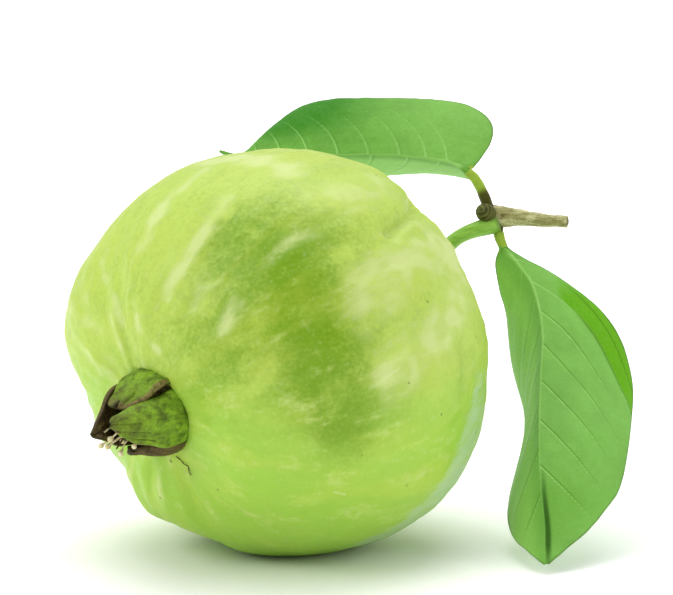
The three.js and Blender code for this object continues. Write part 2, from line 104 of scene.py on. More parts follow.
# The darkest two colours here are painted shade: one for the gaps between the sepals, one for their feet
# down in the hollow.
SEPAL = dict(
    seam=(44, 40, 14), foot=(44, 56, 14), inside=(112, 96, 48), inside_dark=(64, 54, 24), grime=(40, 36, 14),
)
GREEN_SEPAL = dict(SEPAL, base=(128, 166, 36), dark=(84, 112, 22), tip=(88, 84, 32), lip=(166, 140, 92))
BROWN_SEPAL = dict(SEPAL, base=(100, 84, 40), dark=(62, 50, 22), tip=(60, 46, 22), lip=(122, 98, 58))
CUP = dict(light=(120, 118, 48), dark=(66, 56, 24))
ANTHER = dict(light=(252, 248, 208), dark=(206, 190, 128))
THREAD = dict(light=(96, 74, 40), dark=(44, 32, 16))
BARK = dict(
    dark=(154, 152, 96), light=(216, 214, 164), brown=(146, 122, 76),
    knot=(86, 80, 34), furrow=(70, 62, 26), grime=(60, 54, 22),
)
BUD = dict(light=(88, 92, 34), dark=(58, 58, 18), ridge=(140, 140, 76), grime=(36, 32, 12))
STALK = dict(dark=(124, 176, 54), light=(150, 198, 84), foot=(72, 96, 20), grain=(92, 140, 40))
# The darkest green is painted shade, for a fold and for an edge that curls back.
LEAF = dict(painted_shade=(38, 84, 10), margin=(74, 108, 44), petiole=(150, 178, 62), base=(66, 58, 22))
LOWER_LEAF = dict(LEAF, blade=(126, 186, 84), rich=(96, 166, 2), light=(150, 206, 98), vein=(158, 208, 114))
UPPER_LEAF = dict(LEAF, blade=(106, 166, 60), rich=(46, 124, 0), light=(148, 204, 100), vein=(152, 204, 112))


# ---------- small helpers ----------
def unit(v):
    v = np.asarray(v, float)
    return v / np.linalg.norm(v, axis=-1, keepdims=True)


def square_to(v, axis):
    v = np.asarray(v, float)
    return unit(v - np.sum(v * axis, axis=-1, keepdims=True) * axis)


def bell(x, spread):
    """1 where x is 0, falling away smoothly on both sides over about `spread`."""
    return np.exp(-((x / spread) ** 2))


def smooth(x, low, high):
    """0 up to `low` and 1 from `high`, with a soft step between them."""
    t = np.clip((x - low) / (high - low), 0, 1)
    return t * t * (3 - 2 * t)


def direction(turn, lean):
    """A unit vector: `turn` degrees round the front view from +X towards +Z, then `lean` to the front."""
    turn, lean = math.radians(turn), math.radians(lean)
    return np.array([cos(turn) * cos(lean), -sin(lean), sin(turn) * cos(lean)])


def waves(points, size, seed):
    """A smooth irregular field with a spread of about 1, that changes over about `size` millimetres."""
    count = 28
    rng = np.random.default_rng(seed)
    steps = unit(rng.normal(size=(count, 3))) * rng.uniform(0.6, 1.5, (count, 1)) * pi / size
    starts = rng.uniform(0, 2 * pi, count)
    return cos(points @ steps.T + starts).sum(axis=1) / math.sqrt(count / 2)


def grid_waves(grid, size, seed):
    """The same field on a grid of places."""
    return waves(grid.reshape(-1, 3), size, seed).reshape(grid.shape[:-1])


def spline(points, shares):
    """A Catmull-Rom curve through points, at shares (0 to 1) of its spans."""
    points = np.asarray(points, float)
    last = len(points) - 1
    place = np.clip(np.asarray(shares, float), 0, 1) * last
    i = np.minimum(place.astype(int), last - 1)
    w = (place - i)[..., None]
    p0, p1 = points[np.maximum(i - 1, 0)], points[i]
    p2, p3 = points[i + 1], points[np.minimum(i + 2, last)]
    v0, v1 = (p2 - p0) / 2, (p3 - p1) / 2
    return (2 * p1 - 2 * p2 + v0 + v1) * w**3 + (3 * p2 - 3 * p1 - 2 * v0 - v1) * w**2 + v0 * w + p1


def even_curve(points, count):
    """The same curve as `count` points at even distances along it."""
    fine = spline(points, np.linspace(0, 1, 400))
    run = np.concatenate([[0], np.cumsum(np.linalg.norm(np.diff(fine, axis=0), axis=1))])
    at = np.linspace(0, run[-1], count)
    return np.stack([np.interp(at, run, fine[:, k]) for k in range(3)], axis=1)


def grid_faces(rows, columns, closed=False, start=0, flip=False):
    """Quads between rows of points. A closed grid joins the last column to the first."""
    last = columns if closed else columns - 1
    i, j = np.meshgrid(np.arange(rows - 1), np.arange(last), indexing="ij")
    k = (j + 1) % columns
    here, above = i * columns, (i + 1) * columns
    quads = np.stack([here + j, here + k, above + k, above + j], axis=-1).reshape(-1, 4) + start
    return (quads[:, ::-1] if flip else quads).tolist()


def add(name, data):
    """An object in the scene."""
    thing = bpy.data.objects.new(name, data)
    bpy.context.scene.collection.objects.link(thing)
    return thing


def make(name, points, faces, material, node, masks=None):
    """A piece that stands for a CAD node, from points in millimetres, with its faces turned outwards."""
    mesh = bpy.data.meshes.new(name)
    mesh.from_pydata((np.asarray(points) * MM).tolist(), [], faces)
    for key, values in (masks or {}).items():
        values = np.asarray(values, np.float32)
        kind = "FLOAT_VECTOR" if values.ndim == 2 else "FLOAT"
        layer = mesh.attributes.new(key, kind, "POINT")
        layer.data.foreach_set("vector" if values.ndim == 2 else "value", values.ravel())
    bm = bmesh.new()
    bm.from_mesh(mesh)
    bmesh.ops.recalc_face_normals(bm, faces=bm.faces)
    bm.to_mesh(mesh)
    bm.free()
    mesh.shade_smooth()
    piece = add(name, mesh)
    mesh.materials.append(material)
    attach(piece, "root")
    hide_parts(node)


def angles_round(sides):
    return np.arange(sides) * 2 * pi / sides


def unrolled(share, sides):
    """How far along a rod each of its rings' points is, and the angle round it."""
    return np.meshgrid(share, angles_round(sides), indexing="ij")


def rings_about(path, radius, sides):
    """Rings round a path, the way `sides` points run round each, and the directions out from its centre."""
    along = unit(np.gradient(path, axis=0))
    rings, outs = [], []
    across = np.array([0.3, 0.2, 0.93])  # where the first ring starts
    angles = angles_round(sides)[:, None]
    for centre, way, size in zip(path, along, radius):
        across = square_to(across, way)
        up = np.cross(way, across)
        out = cos(angles) * across + sin(angles) * up
        rings.append(centre + out * size)
        outs.append(out)
    return np.array(rings), np.array(outs)


def closed_tube(rings, start_tip, end_tip, start=0):
    """Points and faces of a closed tube through rings, ended by a tip point at each end."""
    rows, columns = rings.shape[:2]
    points = np.concatenate([rings.reshape(-1, 3), [start_tip, end_tip]])
    faces = grid_faces(rows, columns, closed=True, start=start)
    last_row, tips = start + (rows - 1) * columns, start + rows * columns
    for j in range(columns):
        k = (j + 1) % columns
        faces.append((start + k, start + j, tips))
        faces.append((last_row + j, last_row + k, tips + 1))
    return points, faces


# ---------- materials ----------
def add_node(tree, kind, inputs, **settings):
    """A new node's outputs. Its inputs are given by name or number."""
    node = tree.nodes.new("ShaderNode" + kind)
    for key, setting in settings.items():
        setattr(node, key, setting)
    for key, value in inputs.items():
        socket = node.inputs[key]
        if isinstance(value, bpy.types.NodeSocket):
            tree.links.new(value, socket)
        else:
            socket.default_value = (*value, 1.0) if socket.type == "RGBA" else value
    return node.outputs


def soft_step(tree, value, limits, results=(0, 1)):
    """A value taken between its limits softly from one result to the other."""
    inputs = dict(zip(("Value", "From Min", "From Max", "To Min", "To Max"), (value, *limits, *results)))
    return add_node(tree, "MapRange", inputs, interpolation_type="SMOOTHSTEP")["Result"]


class Finish:
    """Builds one node material. Its tone is the colour so far, and each `over` lays another colour on it."""

    def __init__(self, name, roughness, specular, coat=0.0, coat_roughness=0.2):
        self.material = bpy.data.materials.new(name)
        self.material.use_nodes = True
        self.tree = self.material.node_tree
        self.shader = self.tree.nodes["Principled BSDF"].inputs
        self.shader["Roughness"].default_value = roughness
        self.shader["Specular IOR Level"].default_value = specular
        self.shader["Coat Weight"].default_value = coat
        self.shader["Coat Roughness"].default_value = coat_roughness
        self.place = add_node(self.tree, "TexCoord", {})["Object"]
        self.tone = None

    def attribute(self, name, output="Fac"):
        return add_node(self.tree, "Attribute", {}, attribute_name=name)[output]

    def noise(self, scale, detail, roughness, stretch=None):
        """Noise, looked up by an attribute's places, or by places turned by degrees and then stretched."""
        place = self.place
        if isinstance(stretch, str):
            place = self.attribute(stretch, "Vector")
        elif stretch:
            turn = [math.radians(angle) for angle in stretch[0]]
            inputs = {"Vector": place, "Rotation": turn, "Scale": stretch[1]}
            place = add_node(self.tree, "Mapping", inputs)["Vector"]
        inputs = {"Vector": place, "Scale": scale, "Detail": detail, "Roughness": roughness}
        return add_node(self.tree, "TexNoise", inputs)["Fac"]

    def cells(self, scale, feature="F1"):
        inputs = {"Vector": self.place, "Scale": scale}
        return add_node(self.tree, "TexVoronoi", inputs, feature=feature)["Distance"]

    def between(self, value, limits, results=(0, 1)):
        if isinstance(value, str):
            value = self.attribute(value)
        return soft_step(self.tree, value, limits, results)

    def sum(self, *parts):
        """The sum of (value, factor) pairs. A value is an attribute's name, an output or a number."""
        total = 0
        for value, factor in parts:
            if isinstance(value, str):
                value = self.attribute(value)
            inputs = {0: value, 1: factor, 2: total}
            total = add_node(self.tree, "Math", inputs, operation="MULTIPLY_ADD")[0]
        return total

    def times(self, value, factor):
        return add_node(self.tree, "Math", {0: value, 1: factor}, operation="MULTIPLY")[0]

    def mix(self, share, a, b):
        # 0, 6, 7 and 2 are the mix node's share, first colour, second colour and mixed colour
        return add_node(self.tree, "Mix", {0: share, 6: a, 7: b}, data_type="RGBA", clamp_factor=True)[2]

    def over(self, value, limits, shares, colour):
        """Lays a colour over the tone, by a share that follows the value between its limits."""
        self.tone = self.mix(self.between(value, limits, shares), self.tone, colour)

    def link(self, value, name):
        self.tree.links.new(value, self.shader[name])

    def finished(self, bump, depth, strength):
        """The material, with the tone as its colour and a bump `depth` metres deep."""
        self.link(self.tone, "Base Color")
        inputs = {"Strength": strength, "Distance": depth, "Height": bump}
        self.link(add_node(self.tree, "Bump", inputs)["Normal"], "Normal")
        return self.material


def rgb(colour):
    """A colour given as 0 to 255, as the linear values that shaders use."""
    return tuple((c / 255 / 12.92 if c < 10.3 else ((c / 255 + 0.055) / 1.055) ** 2.4) for c in colour)


def linear(colours):
    return SimpleNamespace(**{name: rgb(colour) for name, colour in colours.items()})


def scaled(colour, factor):
    return tuple(factor * c for c in colour)


def skin_finish():
    c = linear(SKIN)
    f = Finish("guava_skin", roughness=0.45, specular=0.3, coat=0.06, coat_roughness=0.35)
    broad = f.noise(60, 4, 0.6)
    cloud = f.noise(210, 4, 0.62)
    fleck = f.noise(480, 4, 0.7)
    grain = f.noise(1000, 3, 0.6)
    band = f.noise(130, 4, 0.6, "flow")
    brush = f.noise(260, 5, 0.65, "flow")
    streak = f.noise(420, 5, 0.75, "flow")
    dots = f.between(f.cells(820), (0.08, 0.4), (1.0, 0))
    patchy = [(broad, 0.3), (cloud, 0.6), (brush, 1), (fleck, 0.8), (grain, 0.9)]
    # the fruit's darker green, mixed with painted shade
    deep = f.sum(("deep", 1), *patchy, (1.8, -1))
    # painted shade on the skin that faces down
    low = f.sum(("low", 1), (cloud, 0.6), (brush, 0.9), (fleck, 0.5), (1.0, -1))
    # painted sheen
    pale = f.sum(("pale", 1), (cloud, 0.5), (brush, 1), (grain, 0.4), (0.97, -1))
    # a painted reflection low at the right
    cool = f.sum(("cool", 1), (streak, 2.6), (1.6, -1))
    scar = f.sum(("scar", 1), (grain, 0.5), (0.35, -1))
    f.tone = f.mix(f.between(deep, (-0.25, 1.1)), c.light, c.deep)
    f.over(low, (0, 1), (0, 1), c.low)
    f.over(band, (0.42, 0.66), (0, 0.35), c.yellow)
    f.over(f.sum((fleck, 0.6), (brush, 0.8)), (0.72, 0.95), (0, 0.4), c.fleck)
    f.tone = f.mix(f.times(dots, 0.09), f.tone, c.dot)
    f.over(pale, (0.08, 0.8), (0, 0.78), c.pale)
    f.over(cool, (0, 0.9), (0, 0.82), c.cool)
    f.over(scar, (0.2, 0.9), (0, 0.55), c.scar)
    f.over("spot", (0.3, 0.8), (0, 0.75), c.speck)
    f.link(f.sum((grain, 0.2), (brush, 0.2), (0.26, 1)), "Roughness")
    return f.finished(f.sum((grain, 0.6), (dots, 0.25), (cloud, 0.9), (brush, 1)), 0.00026, 0.5)


def sepal_finish(name, tones):
    c = linear(tones)
    f = Finish(name, roughness=0.62, specular=0.25)
    fine = f.noise(1500, 4, 0.6)
    blotch = f.noise(330, 5, 0.65)
    streak = f.noise(520, 3, 0.6, ((0, 12, 47), (0.22, 1.0, 1)))
    far = f.sum(("along", 0.9), (blotch, 1), (streak, 0.5), (0.75, -1))
    edge = f.sum(("lip", 1), (blotch, 1.2), (0.6, -1))
    inside = f.mix(f.between(blotch, (0.4, 0.6)), c.inside, c.inside_dark)
    f.tone = f.mix(f.between(blotch, (0.42, 0.66)), c.base, c.dark)
    f.over(streak, (0.48, 0.66), (0, 0.7), scaled(c.base, 1.6))
    f.over(far, (0.42, 0.95), (0, 0.7), c.tip)
    f.over("ring", (0.3, 0.9), (0, 0.5), c.dark)
    f.over(edge, (0.3, 0.8), (0, 0.85), f.mix(f.between(fine, (0.35, 0.65)), c.lip, c.tip))
    # painted shade along the edges and the tip, for the dark gaps between the sepals
    f.over("seam", (0.3, 0.9), (0, 0.85), c.seam)
    # painted shade at the sepals' feet, down in the hollow
    f.over("foot", (0.2, 0.9), (0, 0.85), c.foot)
    f.over("inner", (0.4, 0.6), (0, 1), inside)
    f.over(fine, (0.25, 0.75), (0.35, 0), c.grime)
    return f.finished(f.sum((fine, 0.6), (blotch, 0.8), (streak, 0.8)), 0.00035, 0.8)


def dry_finish(name, tones, scale=1400):
    c = linear(tones)
    f = Finish(name, roughness=0.75, specular=0.2)
    grain = f.noise(scale, 4, 0.65)
    patch = f.noise(scale / 4, 3, 0.6)
    f.tone = f.mix(f.between(f.sum((grain, 0.6), (patch, 0.5)), (0.4, 0.75)), c.dark, c.light)
    return f.finished(grain, 0.0002, 0.8)


def bark_finish():
    c = linear(BARK)
    f = Finish("twig_bark", roughness=0.72, specular=0.2)
    grain = f.noise(620, 5, 0.65, ((0, 0, 13), (0.2, 1.0, 1)))
    patch = f.noise(260, 4, 0.6)
    fine = f.noise(2200, 3, 0.6)
    f.tone = f.mix(f.between(grain, (0.38, 0.62)), c.dark, c.light)
    f.over(patch, (0.5, 0.72), (0, 0.4), c.brown)
    f.over("knot", (0.2, 0.95), (0, 0.7), c.knot)
    f.over("furrow", (0.2, 0.9), (0, 0.75), c.furrow)
    f.over(fine, (0.3, 0.7), (0.25, 0), c.grime)
    return f.finished(f.sum((grain, 0.9), (fine, 0.35)), 0.0004, 0.8)


def bud_finish():
    c = linear(BUD)
    f = Finish("bud_scales", roughness=0.66, specular=0.25)
    fine = f.noise(1700, 4, 0.6)
    patch = f.noise(500, 3, 0.6)
    f.tone = f.mix(f.between(patch, (0.4, 0.65)), c.light, c.dark)
    f.over("ridge", (0.45, 0.95), (0, 0.5), c.ridge)
    f.over(fine, (0.3, 0.7), (0.3, 0), c.grime)
    return f.finished(fine, 0.0002, 0.7)


def stalk_finish():
    c = linear(STALK)
    f = Finish("green_stalk", roughness=0.45, specular=0.3)
    streak = f.noise(800, 4, 0.6, ((0, -28, 25), (0.12, 1.0, 1)))
    grain = f.noise(1600, 3, 0.6)
    f.tone = f.mix(f.between(streak, (0.35, 0.65)), c.dark, c.light)
    f.over("foot", (0.3, 0.95), (0, 0.8), c.foot)
    f.over(grain, (0.3, 0.7), (0.2, 0), c.grain)
    return f.finished(f.sum((streak, 0.8), (grain, 0.4)), 0.00018, 0.7)


def leaf_finish(name, tones):
    c = linear(tones)
    f = Finish(name, roughness=0.55, specular=0.12)
    cloud = f.noise(110, 4, 0.6)
    fine = f.noise(900, 4, 0.6)
    net = f.between(f.cells(950, "DISTANCE_TO_EDGE"), (0, 0.14))
    rich = f.sum(("rich", 1), (cloud, 0.4), (0.2, -1))
    f.tone = f.mix(f.between(cloud, (0.3, 0.7)), c.blade, scaled(c.blade, 0.86))
    f.tone = f.mix(f.times(f.attribute("light"), 0.9), f.tone, c.light)
    f.over(rich, (0, 1), (0, 1), c.rich)
    f.over(net, (0, 1), (0.07, 0), c.vein)
    f.over(fine, (0.35, 0.65), (0.12, 0), c.rich)
    # painted shade beside the veins
    f.over("groove_shade", (0.1, 0.9), (0, 0.75), scaled(c.rich, 0.55))
    # painted shade in a fold beside the midrib and at a curled edge
    f.over("painted_shade", (0.05, 0.95), (0, 0.9), c.painted_shade)
    f.over("vein", (0.2, 0.85), (0, 0.8), c.vein)
    f.over("margin", (0.4, 1), (0, 0.6), c.margin)
    f.over("petiole", (0.3, 0.7), (0, 1), c.petiole)
    f.over("base", (0.2, 0.8), (0, 0.92), c.base)
    f.link(f.sum((fine, 0.14), (0.45, 1)), "Roughness")
    return f.finished(f.sum((net, 0.5), (fine, 0.5)), 0.0001, 0.6)


# ---------- the fruit ----------
heading, pitch = math.radians(STEM_HEADING), math.radians(STEM_PITCH)
level = cos(pitch)
stem_way = np.array([cos(heading) * level, sin(heading) * level, sin(pitch)])
blossom_way = -stem_way
crest = square_to(UP, blossom_way)
cheek = unit(np.cross(crest, blossom_way))

# lines over the skin: the (turn, lean) places they pass, their width in radians, and their depth or strength
FOLDS = [
    ([(47, -8), (48, 13), (51, 30)], 0.04, 1.7),  # where two swellings meet, behind the shoulder
    ([(50, 24), (53, 39)], 0.05, 0.5),
    ([(216, 51), (232, 41), (243, 34)], 0.05, 0.7),
    ([(196, 26), (214, 24), (228, 16)], 0.05, 0.6),
    ([(169, 23), (160, 8), (150, 0)], 0.05, 0.4),
    ([(134, 57), (118, 50), (104, 36)], 0.06, 0.3),
    ([(7, 54), (20, 36), (30, 18)], 0.07, 0.35),
]
# where the fruit's darker green, mixed with painted shade, is laid
DARK_GREEN_AND_SHADE_LINES = [
    ([(108, 44), (100, 54), (85, 64), (60, 72)], 0.22, 0.85),
    ([(84, 52), (72, 66), (30, 76), (345, 73), (330, 66)], 0.3, 1.0),
    ([(100, 62), (150, 72), (220, 72)], 0.26, 0.7),
    ([(352, 76), (312, 62), (300, 50)], 0.22, 0.6),
]
# painted sheen: pale streaks where light catches the skin
SHEEN_LINES = [
    ([(105, 30), (115, 39), (128, 45), (142, 48)], 0.04, 0.8),
    ([(110, 11), (124, 21), (134, 29)], 0.07, 0.7),
    ([(169, 23), (165, 3)], 0.05, 0.6),
    ([(150, 13), (158, 29), (169, 41)], 0.035, 0.6),
    ([(152, 39), (161, 45), (166, 52)], 0.03, 0.6),
    ([(134, 57), (126, 55)], 0.05, 0.6),
    ([(132, 69), (113, 64)], 0.05, 0.6),
    ([(98, 58), (88, 50), (74, 44)], 0.05, 0.45),
    ([(109, -1), (97, 10), (86, 19)], 0.1, 0.9),
    ([(60, 8), (66, 22), (76, 30)], 0.12, 0.5),
    ([(42, 54), (42, 40), (38, 22), (30, 6)], 0.16, 0.65),
    ([(2, 56), (9, 46), (18, 28), (28, 8)], 0.13, 0.75),
    ([(150, 0), (168, 12), (185, 24)], 0.16, 0.35),
]
SCARS = [([(3, 60), (7, 54)], 0.012, 1.0), ([(299, 54), (302, 51)], 0.01, 1.0)]
# a line low on the front where less of the painted underside shade is laid, so it shows lighter
BRIGHT_LOW_LINE = [(20, 78), (349, 74), (334, 68)]
# the line of the painted reflection low at the right
SHEEN_RIM = [(4, 2), (348, 4), (334, 6), (318, 7), (302, 6)]
SHADE_BORDER = [(110, 37), (151, 47)]  # the edge of the side with darker green and painted shade
SHADE_SIDE = (65, 73)
LARGE_SPECK = (222, 42)


def angle_to(ways, line):
    """The angle from each unit vector to the nearest of a line's."""
    return np.arccos(np.clip((ways @ line.T).max(axis=1), -1, 1))


def line_over(places):
    return unit(spline([direction(*place) for place in places], np.linspace(0, 1, 24)))


def near(ways, places, width):
    """How near each unit vector is to a line through (turn, lean) places: 1 on it, fading over `width`."""
    return bell(angle_to(ways, line_over(places)), width)


def strongest(ways, lines):
    return np.max([strength * near(ways, places, width) for places, width, strength in lines], axis=0)


def fruit_surface():
    """Points and faces of the CAD fruit's own skin, made fine and smooth."""
    bm = bmesh.new()
    bm.from_mesh(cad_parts["fruit"].data)
    bmesh.ops.remove_doubles(bm, verts=bm.verts, dist=1e-6)
    bmesh.ops.join_triangles(bm, faces=bm.faces, angle_face_threshold=3.0, angle_shape_threshold=3.0)
    mesh = bpy.data.meshes.new("fruit_cage")
    bm.to_mesh(mesh)
    bm.free()
    cage = add("fruit_cage", mesh)
    cage.modifiers.new("fine", "SUBSURF").levels = 3
    fine = bpy.data.meshes.new_from_object(cage.evaluated_get(bpy.context.evaluated_depsgraph_get()))
    bpy.data.objects.remove(cage)
    points = np.zeros(len(fine.vertices) * 3)
    fine.vertices.foreach_get("co", points)
    return points.reshape(-1, 3) / MM, [tuple(p.vertices) for p in fine.polygons]


def rib_pattern(offset, polar, turn):
    """Ribs that fan out from the calyx, how much of each is there, and how they sway.

    polar is the angle from the calyx's axis, and turn the angle round it.
    """
    fan = polar[:, None] * np.stack([cos(turn), sin(turn)], axis=1) * 9
    sway = waves(np.column_stack([fan, turn * 0]), 7, 5) * 0.25
    ribs = cos(13 * turn + 5 * sway + 1.0) + 0.7 * cos(23 * turn - 6 * sway)
    broken = smooth(waves(offset, 11, 8), -0.8, 1.2)
    one_side = 1 - 0.85 * bell(turn - math.radians(85), 1.0) + 0.7 * bell(turn + math.radians(70), 0.9)
    return ribs, broken * one_side, sway


def fruit_height(offset, ways, polar, turn, ribs, extent, sway):
    """How far the skin stands out from the CAD fruit's."""
    height = RIB_HEIGHT * ribs * extent * bell(polar - 0.5, 0.3)
    height += LUMP_HEIGHT * waves(offset, 16, 1)
    height += DIMPLE_HEIGHT * waves(offset, 5.5, 2)
    height += PORE_HEIGHT * waves(offset, 1.9, 3)
    streaky = np.column_stack([8 * polar, 38 * cos(turn), 38 * sin(turn)])
    height += (0.06 * waves(streaky, 2.4, 6) + 0.1 * waves(streaky, 5, 7)) * smooth(polar, 0.25, 0.7)
    # puckers round the foot of the stalk
    height += PUCKER_HEIGHT * cos(9 * turn + sway) * bell(pi - polar - 0.2, 0.1)
    for places, width, depth in FOLDS:
        height -= depth * near(ways, places, width)
    return height


def fruit_masks(offset, ways, polar, turn, ribs, extent):
    ragged = 0.018 * waves(offset, 2.6, 11) + 0.02 * waves(offset, 7, 12)
    # painted shade: past a sharp border, as on the shaded side of a ridge, the green is darker, mixed with
    # the fruit's own darker green
    border = unit(np.cross(*[direction(*place) for place in SHADE_BORDER]))
    border *= math.copysign(1, border @ direction(*SHADE_SIDE))
    past = smooth(ways @ border + ragged, -0.015, 0.035)
    deep = strongest(ways, DARK_GREEN_AND_SHADE_LINES) * (0.12 + 0.88 * past)
    deep -= 0.3 * smooth(waves(offset, 4.5, 14), 0.4, 1.8) * past
    # painted shade round the hollow that the calyx sits in
    deep = np.maximum(deep, 0.55 * bell(polar - 0.24, 0.07))
    # painted shade on the underside: the skin that faces down takes the low tone, less of it along one line
    low = smooth(0.3 - ways[:, 2], 0.0, 0.7) * 0.95
    low *= 1 - 0.75 * near(ways, BRIGHT_LOW_LINE, 0.24)
    # painted highlights on the crests of the ribs, and painted sheen along the given lines
    crests = smooth(ribs, 0.4, 1.6) * extent * bell(polar - 0.5, 0.25)
    pale = np.maximum(strongest(ways, SHEEN_LINES), 0.6 * crests)
    pale *= 0.6 + 0.5 * smooth(waves(offset, 4, 21), -0.9, 0.9)

    # a painted reflection: a pale bluish band low at the right, which fades towards the back and has a
    # painted dark line of shade along its edge
    from_rim = angle_to(ways, line_over(SHEEN_RIM)) + 0.5 * ragged
    behind = smooth(ways[:, 1], -0.3, 0.05)
    cool = 1 - smooth(from_rim, 0.22 - 0.18 * behind, 0.42 + 0.1 * behind)
    cool *= smooth(0.12 - ways[:, 2], 0.0, 0.3) * (1 - 0.85 * behind)
    # painted shade: a dark line along the edge of the painted reflection
    deep = np.maximum(deep, 0.7 * bell(from_rim - 0.45, 0.05) * smooth(-ways[:, 2], -0.3, 0.1))

    rng = np.random.default_rng(4)
    specks = np.array([direction(*LARGE_SPECK), *unit(rng.normal(size=(SPECK_COUNT, 3)))])
    spot = bell(angle_to(ways, specks), SPECK_SPREAD)
    # places to look the brushed patterns up by, stretched along the way from blossom to stem
    girth = 14 + 25 * sin(polar)
    flow = np.column_stack([11 * polar, girth * cos(turn), girth * sin(turn)]) * MM
    scar = strongest(ways, SCARS)
    return dict(deep=deep, low=low, pale=pale, cool=cool, scar=scar, spot=spot, flow=flow)


def fruit():
    """The skin with its ribs, folds, pores and uneven colours, among them painted sheen and painted shade.
    """
    points, faces = fruit_surface()
    offset = points - FRUIT_MIDDLE
    ways = unit(offset)
    polar = angle_to(ways, blossom_way[None])
    turn = np.arctan2(ways @ cheek, ways @ crest)
    ribs, extent, sway = rib_pattern(offset, polar, turn)

    # the rim of the hollow draws in round the calyx
    aside = square_to(offset, blossom_way)
    points = points - aside * (2.0 * bell(polar - 0.275, 0.05))[:, None]
    points = points + ways * (1.0 * bell(polar - 0.285, 0.045))[:, None]

    height = fruit_height(offset, ways, polar, turn, ribs, extent, sway)
    # the flat spot stays flat
    points = points + ways * (height * smooth(points[:, 2], 0.0, 3.0))[:, None]
    points[:, 2] = np.maximum(points[:, 2], 0)
    masks = fruit_masks(offset, ways, polar, turn, ribs, extent)
    make("guava_fruit", points, faces, skin_finish(), "fruit", masks)


fruit()

# ---------- the calyx ----------
calyx_foot = blossom_way * CALYX_FLOOR + FRUIT_MIDDLE

# Each sepal spans start to end, in degrees round the calyx. Its tip is `reach` along the axis, `aside` from
# it and moved `rise` along the crest. `bow` is how late it bends in, `belly` how far it swells, `curl` how
# far its tip turns out, `tuck` how far its first edge goes in and `flare` how far its last edge stands out.
# `lips` are the strengths of the pale lips along its two edges.
SEPALS = [
    SimpleNamespace(
        name="sepal_upper", dry=False, start=-45, end=40, reach=11.4, aside=5.4, rise=-1.4, bow=2.4,
        belly=1.6, curl=0.5, tuck=0.0, flare=0.9, lips=(0.5, 1.0), seed=31,
    ),
    SimpleNamespace(
        name="sepal_front", dry=False, start=46, end=124, reach=18.0, aside=4.3, rise=3.2, bow=2.6,
        belly=1.5, curl=0.35, tuck=2.6, flare=0.0, lips=(0.05, 0.4), seed=32,
    ),
    SimpleNamespace(
        name="sepal_lower", dry=True, start=121, end=215, reach=10.6, aside=5.8, rise=0.6, bow=2.2,
        belly=1.3, curl=0.9, tuck=0.0, flare=0.9, lips=(0.8, 0.8), seed=33,
    ),
    SimpleNamespace(
        name="sepal_back", dry=True, start=215, end=315, reach=18.4, aside=1.4, rise=1.0, bow=1.4,
        belly=1.5, curl=0.6, tuck=0.0, flare=0.9, lips=(0.6, 0.6), seed=34,
    ),
]
# the cup's section, as distances from the axis and along it
CUP_SECTION = [
    (8.2, -0.3), (8.75, 0.5), (8.9, 1.2), (8.6, 1.75), (8.0, 1.9),
    (7.3, 1.6), (7.0, 1.0), (5.2, 0.8), (2.6, 1.0),
]


def sideways(turn):
    turn = np.radians(turn)[..., None]
    return crest * cos(turn) + cheek * sin(turn)


def calyx_place(out, aside, turn):
    """Places round the calyx: `out` along its axis, `aside` from the axis, `turn` degrees from the crest."""
    out, aside, turn = np.broadcast_arrays(np.asarray(out, float), aside, turn)
    return calyx_foot + out[..., None] * blossom_way + aside[..., None] * sideways(turn)


def sheet(surface, thickness, rows, columns):
    """Points, faces, u, v and side of a closed sheet about surface(u, v), u 0 to 1 and v -1 to 1."""
    u, v = np.meshgrid(np.linspace(0, 1, rows), np.linspace(-1, 1, columns), indexing="ij")
    centre = surface(u, v)
    out = unit(np.cross(np.gradient(centre, axis=0), np.gradient(centre, axis=1)))
    edge = np.maximum(np.abs(v), np.abs(2 * u - 1))
    half = (thickness / 2) * (1 - 0.55 * smooth(edge, 0.9, 1.0))[..., None]
    points = np.concatenate([layer.reshape(-1, 3) for layer in (centre + out * half, centre - out * half)])
    faces = grid_faces(rows, columns) + grid_faces(rows, columns, start=rows * columns, flip=True)
    rim = [i * columns for i in range(rows)]
    rim += [(rows - 1) * columns + j for j in range(1, columns)]
    rim += [i * columns + columns - 1 for i in range(rows - 2, -1, -1)]
    rim += [j for j in range(columns - 2, 0, -1)]
    for a, b in zip(rim, rim[1:] + rim[:1]):
        faces.append((a, b, b + rows * columns, a + rows * columns))
    side = np.repeat([0.0, 1.0], u.size)
    return points, faces, np.tile(u.ravel(), 2), np.tile(v.ravel(), 2), side


def sepal_distance(s, u, v, crinkle):
    """How far a sepal's blade is from the calyx's axis."""
    foot = CALYX_RADIUS - SEPAL_THICKNESS
    distance = foot + (s.aside - foot) * u**s.bow + 0.14 * crinkle
    distance += s.belly * sin(pi * u**0.55)
    distance += s.curl * smooth(u, 0.75, 1.0) * (0.5 + 0.3 * sin(5 * v + s.seed))
    # creases along it, and rings round its foot
    distance += 0.09 * cos(9 * pi * v) * sin(pi * u)
    distance += 0.07 * cos(60 * u) * bell(u - 0.16, 0.12)
    # both edges roll out, then one goes in or the other stands out
    distance += (0.35 + 0.6 * s.curl) * bell(np.abs(v) - 0.87, 0.1) * smooth(u, 0.15, 0.6)
    distance -= s.tuck * smooth(-v, 0.5, 1.0) * smooth(u, 0.05, 0.4)
    distance += s.flare * smooth(v, 0.55, 0.95) * bell(u - 0.5, 0.35)
    return np.maximum(distance, 0.5)


